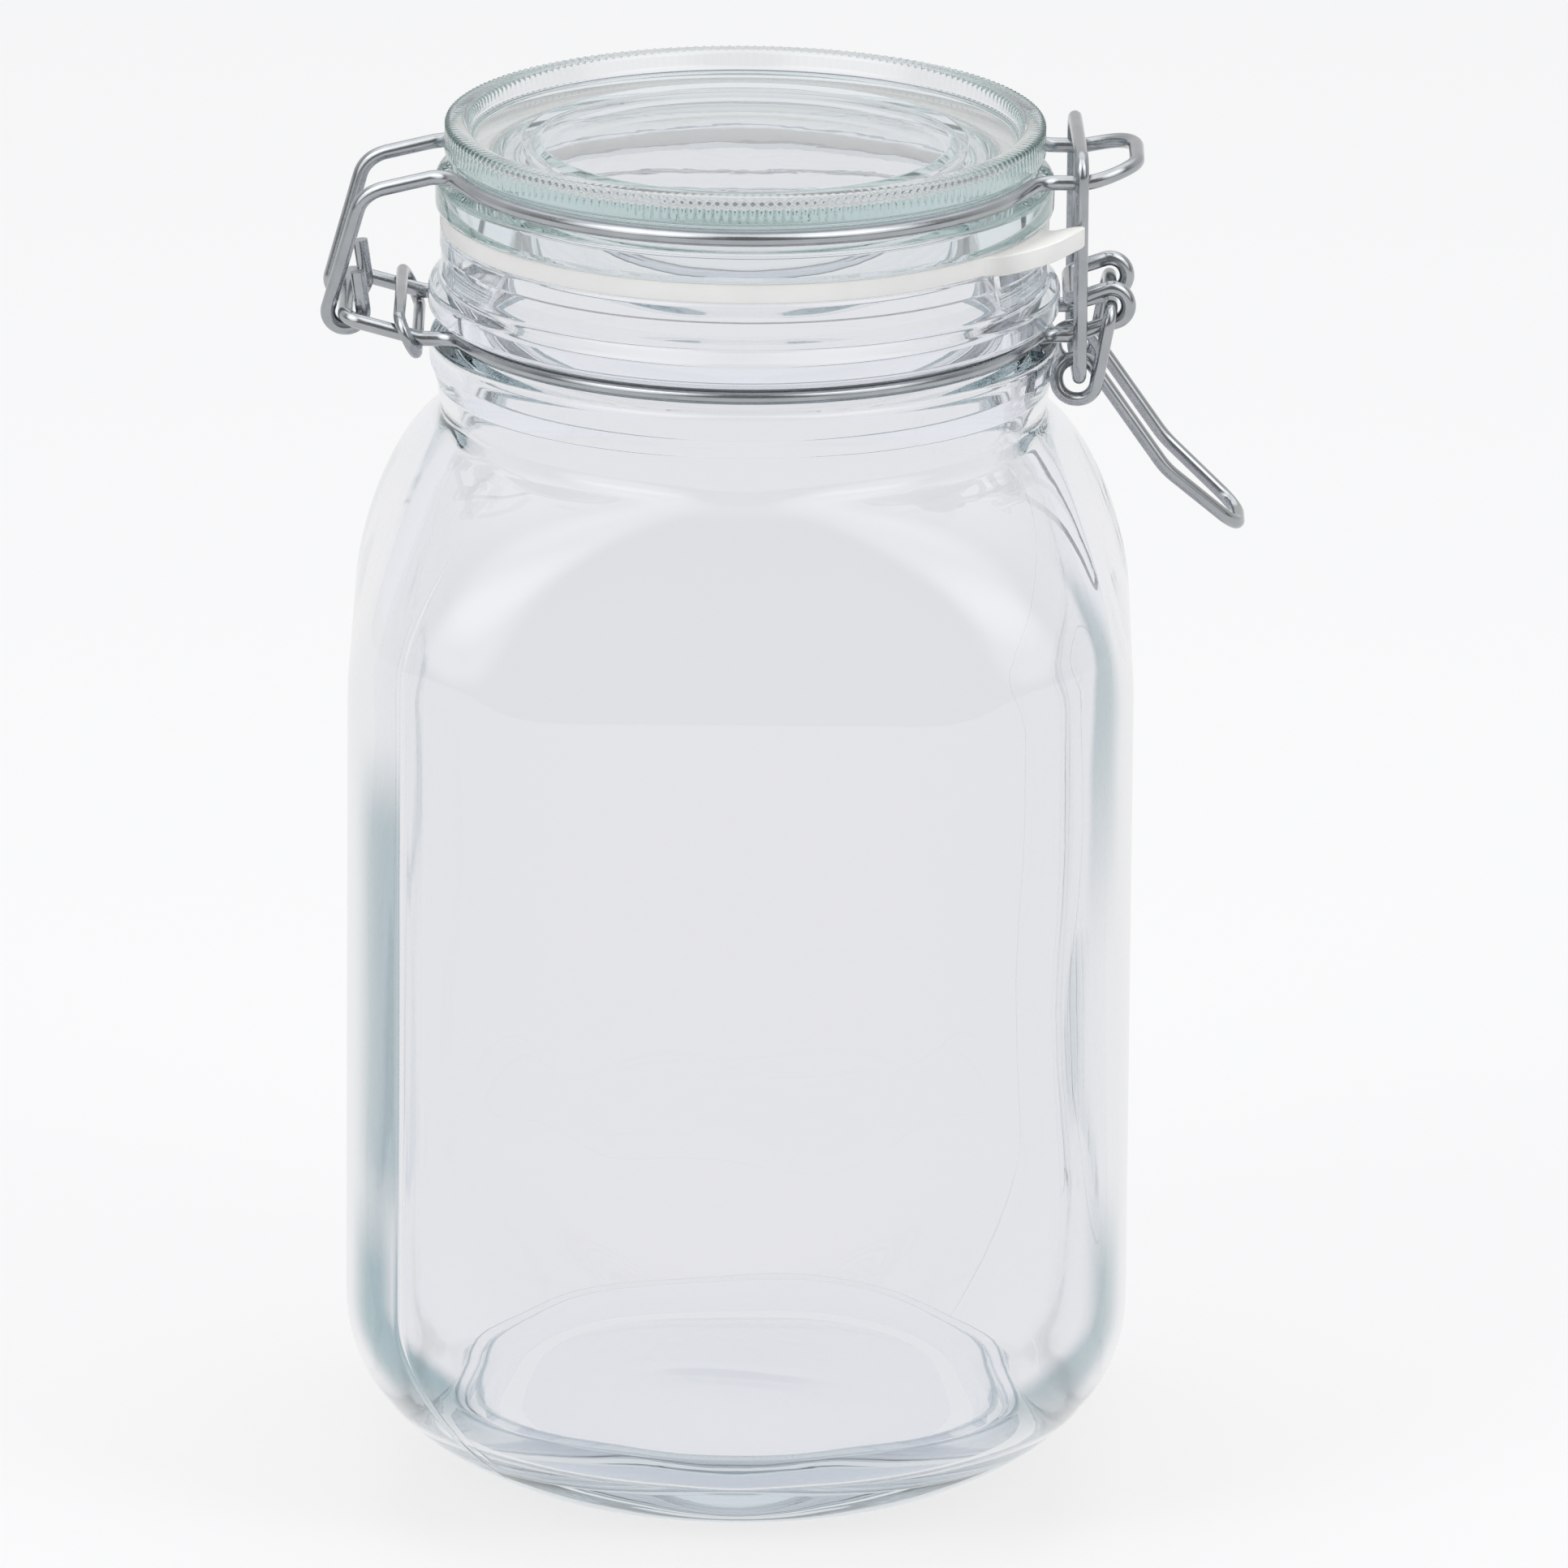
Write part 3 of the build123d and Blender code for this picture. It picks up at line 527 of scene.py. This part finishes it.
def beadTree():
    # Geometry Nodes: a row of small rounded beads round an edge circle of given radius and height
    tree = bpy.data.node_groups.new("beadedEdge", "GeometryNodeTree")
    side = tree.interface
    side.new_socket("Geometry", in_out="INPUT", socket_type="NodeSocketGeometry")
    for name in ("Edge Radius", "Edge Height", "Bead Height", "Bead Reach", "Bead Count"):
        side.new_socket(name, in_out="INPUT", socket_type="NodeSocketFloat")
    side.new_socket("Material", in_out="INPUT", socket_type="NodeSocketMaterial")
    side.new_socket("Geometry", in_out="OUTPUT", socket_type="NodeSocketGeometry")
    given = addNode(tree, "NodeGroupInput").outputs
    position = addNode(tree, "GeometryNodeInputPosition").outputs[0]
    x, y, z = addNode(tree, "ShaderNodeSeparateXYZ", {0: position}).outputs
    flat = addNode(tree, "ShaderNodeVectorMath", {0: position, 1: (1, 1, 0)}, operation="MULTIPLY").outputs[0]
    radius = addNode(tree, "ShaderNodeVectorMath", {0: flat}, operation="LENGTH").outputs["Value"]
    here = addNode(tree, "ShaderNodeCombineXYZ", {"X": radius, "Z": z}).outputs[0]
    edge = addNode(tree, "ShaderNodeCombineXYZ", {"X": given["Edge Radius"], "Z": given["Edge Height"]}).outputs[0]
    away = addNode(tree, "ShaderNodeVectorMath", {0: here, 1: edge}, operation="DISTANCE").outputs["Value"]
    mask = addNode(tree, "ShaderNodeMapRange", {
        "Value": away, "From Min": 0.0, "From Max": given["Bead Reach"], "To Min": 1.0, "To Max": 0.0},
        interpolation_type="SMOOTHSTEP").outputs["Result"]
    angle = addNode(tree, "ShaderNodeMath", {0: y, 1: x}, operation="ARCTAN2").outputs[0]
    turn = addNode(tree, "ShaderNodeMath", {0: angle, 1: given["Bead Count"]}, operation="MULTIPLY").outputs[0]
    wave = addNode(tree, "ShaderNodeMath", {0: turn}, operation="COSINE").outputs[0]
    height = addNode(tree, "ShaderNodeMath", {0: mask, 1: given["Bead Height"]}, operation="MULTIPLY").outputs[0]
    rise = addNode(tree, "ShaderNodeMath", {0: wave, 1: height}, operation="MULTIPLY").outputs[0]
    normal = addNode(tree, "GeometryNodeInputNormal").outputs[0]
    offset = addNode(tree, "ShaderNodeVectorMath", {0: normal, "Scale": rise}, operation="SCALE").outputs[0]
    moved = addNode(tree, "GeometryNodeSetPosition", {"Geometry": given["Geometry"], "Offset": offset})
    real = addNode(tree, "GeometryNodeRealizeInstances", {"Geometry": moved.outputs[0]})
    dressed = addNode(tree, "GeometryNodeSetMaterial", {
        "Geometry": real.outputs[0], "Material": given["Material"]})
    addNode(tree, "NodeGroupOutput", {0: dressed.outputs[0]})
    return tree


def applyTree(piece, tree, values):
    # runs a Geometry Nodes tree on a piece and keeps the result as its plain mesh
    modifier = piece.modifiers.new("nodes", "NODES")
    modifier.node_group = tree
    for item in tree.interface.items_tree:
        if item.in_out == "INPUT" and item.name in values:
            modifier[item.identifier] = values[item.name]
    evaluated = piece.evaluated_get(bpy.context.evaluated_depsgraph_get())
    mesh = bpy.data.meshes.new_from_object(evaluated)
    piece.modifiers.clear()
    piece.data = mesh


def makeLid(material):
    s = lidSizes
    floor = s["top"] - s["recess"]
    rimInner = s["radius"] - s["rimWidth"]
    under = floor - s["plate"]
    plugInner = s["plugRadius"] - s["plugWidth"]
    grooveMiddle = s["panelRadius"] + s["panelGroove"][0] / 2
    outline = roundedProfile([
        (s["poleRadius"], floor, 0), (s["panelRadius"], floor, 0.8), (grooveMiddle, floor - s["panelGroove"][1], 0.7),
        (s["panelRadius"] + s["panelGroove"][0], floor, 0.8), (rimInner, floor, 1.6),
        (rimInner + 0.9, s["top"], 1.1), (s["radius"] - 0.2, s["top"], 1.0),
        (s["radius"], s["flangeBottom"], 0.9), (s["grooveRadius"], s["grooveTop"], 0.7),
        (s["grooveRadius"], s["grooveBottom"], 0.7), (s["skirtRadius"], s["grooveBottom"] - 0.9, 1.0),
        (s["skirtRadius"], s["seat"], 0.9), (s["plugRadius"], s["seat"], 0.8),
        (s["plugRadius"], s["mouth"], 0.8), (s["plugRadius"] - s["plugTaper"], s["plugBottom"], 1.0),
        (plugInner, s["plugBottom"], 1.0), (plugInner - s["plugTaper"], under, 2.5), (s["poleRadius"], under, 0)], 4)
    angles = np.linspace(0, 2 * pi, s["around"], endpoint=False)
    rings = np.array([[(r * cos(a), r * sin(a), h) for a in angles] for r, h in outline]) * mm
    vertices, faces = ringSurface(rings, (0, 0, floor * mm), (0, 0, under * mm))
    lid = newPiece("lidGlass", vertices, [face[::-1] for face in faces], material)
    inward, down = s["beadInset"]
    applyTree(lid, beadTree(), {
        "Edge Radius": (s["radius"] - inward) * mm, "Edge Height": (s["top"] - down) * mm,
        "Bead Height": s["beadHeight"] * mm, "Bead Reach": s["beadReach"] * mm,
        "Bead Count": float(s["beadCount"]), "Material": material})
    lid.visible_shadow = False      # light falls through the lid on to the seal
    finishPiece(lid, "lid", "clear_glass", "glass_lid")
    print("lid made:", len(faces), "faces")


# Seal: flat rubber ring with a pull tab that lifts a little outside the lid
sealSizes = {
    "bottom": 213.25, "thickness": 3.3, "outerRadius": 50.6, "innerRadius": 42.5,
    "tabAngle": -27.0, "tabWidth": 19.0, "tabReach": 60.5, "tabCorner": 6.0, "rootBlend": 0.06,
    "bendRadius": 52.2, "lift": 18.0, "edge": 0.45, "edgeSegments": 3, "acrossSteps": 8, "aroundSteps": 150,
}


def sealOutline():
    # outer edge of the seal, tab included, as points in the tab's own direction (x along the tab)
    s = sealSizes
    half = s["tabWidth"] / 2
    root = np.arcsin(half / s["outerRadius"])
    points = [(s["outerRadius"] * cos(a), s["outerRadius"] * sin(a))
              for a in np.linspace(root + s["rootBlend"], 2 * pi - root - s["rootBlend"], s["aroundSteps"])]
    reach, corner = s["tabReach"], s["tabCorner"]
    foot = s["outerRadius"] * cos(root)
    start = Vector(points[-1])
    onSide = Vector((foot + s["outerRadius"] * s["rootBlend"], -half))
    blend = [tuple(start * (1 - t) ** 2 + Vector((foot, -half)) * 2 * t * (1 - t) + onSide * t ** 2)
             for t in np.linspace(0, 1, 7)][1:]
    side = blend + [(x, -half) for x in np.linspace(onSide.x, reach - corner, 3)][1:]
    turn = [(reach - corner + corner * cos(a), -half + corner + corner * sin(a))
            for a in np.linspace(-pi / 2, 0, 8)][1:]
    end = [(reach, y) for y in np.linspace(-half + corner, 0, 4)][1:-1]
    lower = side + turn + end
    return points + lower + [(reach, 0.0)] + [(x, -y) for x, y in reversed(lower)]


def makeSeal(material):
    s = sealSizes
    outline = sealOutline()
    turn = radians(s["tabAngle"])
    slope = np.tan(radians(s["lift"]))
    layers = []
    for height in (s["bottom"], s["bottom"] + s["thickness"]):
        rings = []
        for step in range(s["acrossSteps"] + 1):
            share = step / s["acrossSteps"]
            ring = []
            for x, y in outline:
                inner = Vector((x, y)).normalized() * s["innerRadius"]
                px, py = inner.lerp(Vector((x, y)), share)
                rise = max(0.0, px - s["bendRadius"]) * slope if abs(py) < s["tabWidth"] else 0
                ring.append((px * cos(turn) - py * sin(turn), px * sin(turn) + py * cos(turn), height + rise))
            rings.append(ring)
        layers.append(rings)
    loop = layers[0][::-1] + layers[1]
    rings = np.array(loop + [loop[0]]) * mm
    vertices, faces = ringSurface(rings)
    seal = newPiece("sealRubber", vertices, faces, material)
    shape = bmesh.new()
    shape.from_mesh(seal.data)
    bmesh.ops.remove_doubles(shape, verts=shape.verts, dist=1e-6)
    bmesh.ops.recalc_face_normals(shape, faces=shape.faces)
    shape.to_mesh(seal.data)
    shape.free()
    bevel = seal.modifiers.new("softEdge", "BEVEL")
    bevel.width = s["edge"] * mm
    bevel.segments = s["edgeSegments"]
    bevel.limit_method = "ANGLE"
    finishPiece(seal, "lid", "white_rubber", "rubber_seal")
    print("seal made")


# Wires: the drawn steel loops keep their bent shapes, with their triangles merged into smooth surfaces
wirePieces = {
    "neck_wire": ("neckWire", "jar"), "tension_ring": ("tensionRing", "jar"), "lid_wire": ("lidWire", "lid"),
    "latch_lever": ("latchLever", "lever"), "latch_bail": ("latchBail", "bail"),
}
# amounts, and where along x and up z the bends begin and end
wireBends = {
    "drop": 2.2, "dropAlong": (50, 62), "dropUp": (203, 222),
    "rise": 1.0, "riseAlong": (56, 65), "askew": 0.03,
}
creaseAngle = radians(40)


def bendLidWire(vertex):
    # the rear strands slope down to their arms, and the catch loop tips up at its end
    b = wireBends
    x, z = vertex.co.x / mm, vertex.co.z / mm
    drop = b["drop"] * smoothStep(-x, *b["dropAlong"]) * smoothStep(z, *b["dropUp"])
    rise = b["rise"] * smoothStep(x, *b["riseAlong"])
    vertex.co.z += (rise - drop) * mm


def turnBail(vertex):
    # the bail hangs slightly askew in the coils
    vertex.co.x -= vertex.co.y * wireBends["askew"]


wireShapes = {"lid_wire": bendLidWire, "latch_bail": turnBail}


def makeWire(node, name, body, material):
    mesh = nodes[node].data.copy()
    shape = bmesh.new()
    shape.from_mesh(mesh)
    bmesh.ops.remove_doubles(shape, verts=shape.verts, dist=2e-6)
    if node in wireShapes:
        for vertex in shape.verts:
            wireShapes[node](vertex)
    for face in shape.faces:
        face.smooth = True
    for edge in shape.edges:
        edge.smooth = edge.calc_face_angle(0) < creaseAngle
    shape.to_mesh(mesh)
    shape.free()
    mesh.materials.clear()
    mesh.materials.append(material)
    piece = bpy.data.objects.new(name, mesh)
    scene.collection.objects.link(piece)
    finishPiece(piece, body, "steel_wire", node)


jarGlass = makeGlass(jarLook, strips=True)
lidGlass = makeGlass(lidLook)
wireSteel = makeWireSteel()
sealMaterial = makeRubber()
makeJar(jarGlass)
makeLid(lidGlass)
makeSeal(sealMaterial)
for node, (name, body) in wirePieces.items():
    makeWire(node, name, body, wireSteel)
print("wires made")

# Camera: long lens in front of the jar, a little above it
cameraSetup = {
    "target": (7.3, 0.0, 116.3), "distance": 3500.0, "elevation": 16.6, "roll": 0.48,
    "lens": 480.3, "sensor": 36.0, "clip": (0.1, 50.0),
}


def placeCamera():
    s = cameraSetup
    data = bpy.data.cameras.new("camera")
    data.lens, data.sensor_width = s["lens"], s["sensor"]
    data.clip_start, data.clip_end = s["clip"]
    camera = bpy.data.objects.new("camera", data)
    tilt = radians(s["elevation"])
    back = Vector((0, -cos(tilt), sin(tilt)))
    camera.location = (Vector(s["target"]) + back * s["distance"]) * mm
    camera.rotation_mode = "QUATERNION"
    camera.rotation_quaternion = (-back).to_track_quat("-Z", "Y") @ Quaternion((0, 0, 1), radians(s["roll"]))
    scene.collection.objects.link(camera)
    scene.camera = camera


# Studio: pale floor and surroundings, lamps left, right and above, and soft bright panels for reflections
studio = {
    "pale": "#F8F8F8", "floorColor": "#ECEDEF", "floorHalf": 6.0,
    "floorShare": 0.15, "floorGlow": 0.785, "floorMirrored": 0.88, "floorThrough": 0.88,
    "ambient": "#DDE1EA", "ambientStrength": 0.55,
    "mirrorFront": 0.22, "mirrorBack": 0.72, "mirrorTurn": (-0.3, 0.4),
    "throughColor": "#F6F7FC", "through": 0.96, "ceiling": 0.76, "ceilingTurn": (0.5, 0.9),
    "lampAim": (0, 0, 0.11), "bounces": 64,
    "panels": (               # direction, edges of the soft border as cosines, brightness
        ((-0.62, -0.60, 0.50), (0.84, 0.96), 1.4),
        ((0.66, -0.55, 0.51), (0.86, 0.97), 1.2),
        ((-0.42, -0.36, 0.84), (0.86, 0.985), 1.6),
        ((0.40, -0.36, 0.84), (0.86, 0.985), 1.6),
        ((0.00, 0.35, 0.94), (0.70, 0.95), 0.8),
    ),
    "lamps": (                # name, place, size, power
        ("leftLamp", (-1.1, -1.0, 1.2), (0.8, 1.1), 16.0),
        ("rightLamp", (1.15, -0.8, 1.1), (0.7, 1.0), 13.0),
        ("topLamp", (0.0, 0.3, 1.8), (1.6, 1.2), 22.0),
    ),
}


def floorMaterial():
    s = studio
    material, tree = newMaterial("studioPaper")
    path = addNode(tree, "ShaderNodeLightPath").outputs
    color = linearColor(s["floorColor"])
    faintColor = tuple(c * s["floorShare"] for c in color[:3]) + (1.0,)
    paper = addNode(tree, "ShaderNodeBsdfDiffuse", {"Color": color}).outputs[0]
    faint = addNode(tree, "ShaderNodeBsdfDiffuse", {"Color": faintColor}).outputs[0]
    glow, mirrored, behind = (
        addNode(tree, "ShaderNodeEmission", {"Color": (1, 1, 1, 1), "Strength": s[name]}).outputs[0]
        for name in ("floorGlow", "floorMirrored", "floorThrough"))
    seen = addNode(tree, "ShaderNodeAddShader", {0: faint, 1: glow}).outputs[0]
    mix = paper
    for ray, shader in (("Is Glossy Ray", mirrored), ("Is Transmission Ray", behind), ("Is Camera Ray", seen)):
        mix = addNode(tree, "ShaderNodeMixShader", {0: path[ray], 1: mix, 2: shader}).outputs[0]
    addNode(tree, "ShaderNodeOutputMaterial", {"Surface": mix})
    return material


def buildWorld():
    s = studio
    world = bpy.data.worlds.new("studio")
    world.use_nodes = True
    tree = world.node_tree
    tree.nodes.clear()
    path = addNode(tree, "ShaderNodeLightPath").outputs
    direction = addNode(tree, "ShaderNodeTexCoord").outputs["Generated"]
    heading = addNode(tree, "ShaderNodeSeparateXYZ", {0: direction}).outputs
    level = addNode(tree, "ShaderNodeMapRange", {
        "Value": heading["Y"], "From Min": s["mirrorTurn"][0], "From Max": s["mirrorTurn"][1],
        "To Min": s["mirrorFront"], "To Max": s["mirrorBack"]}, interpolation_type="SMOOTHSTEP").outputs[0]
    for toward, border, brightness in s["panels"]:
        facing = addNode(tree, "ShaderNodeVectorMath", {
            0: direction, 1: Vector(toward).normalized()}, operation="DOT_PRODUCT").outputs["Value"]
        panel = addNode(tree, "ShaderNodeMapRange", {
            "Value": facing, "From Min": border[0], "From Max": border[1], "To Min": 0.0, "To Max": brightness},
            interpolation_type="SMOOTHSTEP").outputs[0]
        level = addNode(tree, "ShaderNodeMath", {0: level, 1: panel}, operation="ADD").outputs[0]
    ambient = addNode(tree, "ShaderNodeBackground", {
        "Color": linearColor(s["ambient"]), "Strength": s["ambientStrength"]}).outputs[0]
    mirrored = addNode(tree, "ShaderNodeBackground", {"Color": (1, 1, 1, 1), "Strength": level}).outputs[0]
    clear = addNode(tree, "ShaderNodeMapRange", {
        "Value": heading["Z"], "From Min": s["ceilingTurn"][0], "From Max": s["ceilingTurn"][1],
        "To Min": s["through"], "To Max": s["ceiling"]}, interpolation_type="SMOOTHSTEP").outputs[0]
    through = addNode(tree, "ShaderNodeBackground", {
        "Color": linearColor(s["throughColor"]), "Strength": clear}).outputs[0]
    backdrop = addNode(tree, "ShaderNodeBackground", {"Color": linearColor(s["pale"]), "Strength": 1.0}).outputs[0]
    mix = ambient
    for ray, shader in (("Is Glossy Ray", mirrored), ("Is Transmission Ray", through), ("Is Camera Ray", backdrop)):
        mix = addNode(tree, "ShaderNodeMixShader", {0: path[ray], 1: mix, 2: shader}).outputs[0]
    addNode(tree, "ShaderNodeOutputWorld", {"Surface": mix})
    scene.world = world


def buildStudio():
    half = studio["floorHalf"]
    mesh = bpy.data.meshes.new("studioFloor")
    mesh.from_pydata([(-half, -half, 0), (half, -half, 0), (half, half, 0), (-half, half, 0)], [], [(0, 1, 2, 3)])
    mesh.materials.append(floorMaterial())
    floor = bpy.data.objects.new("studioFloor", mesh)
    scene.collection.objects.link(floor)
    buildWorld()
    for name, place, size, power in studio["lamps"]:
        data = bpy.data.lights.new(name, "AREA")
        data.shape, data.size, data.size_y, data.energy = "RECTANGLE", size[0], size[1], power
        lamp = bpy.data.objects.new(name, data)
        lamp.location = place
        lamp.rotation_mode = "QUATERNION"
        lamp.rotation_quaternion = (Vector(studio["lampAim"]) - Vector(place)).to_track_quat("-Z", "Y")
        lamp.visible_glossy = False
        lamp.visible_transmission = False
        scene.collection.objects.link(lamp)
    scene.view_settings.view_transform = "Standard"
    scene.cycles.use_denoising = True
    # light that runs along inside the glass takes many bounces to come out
    scene.cycles.max_bounces = studio["bounces"]
    scene.cycles.transmission_bounces = studio["bounces"]
    scene.cycles.glossy_bounces = studio["bounces"]


placeCamera()
buildStudio()
print("camera and studio ready")
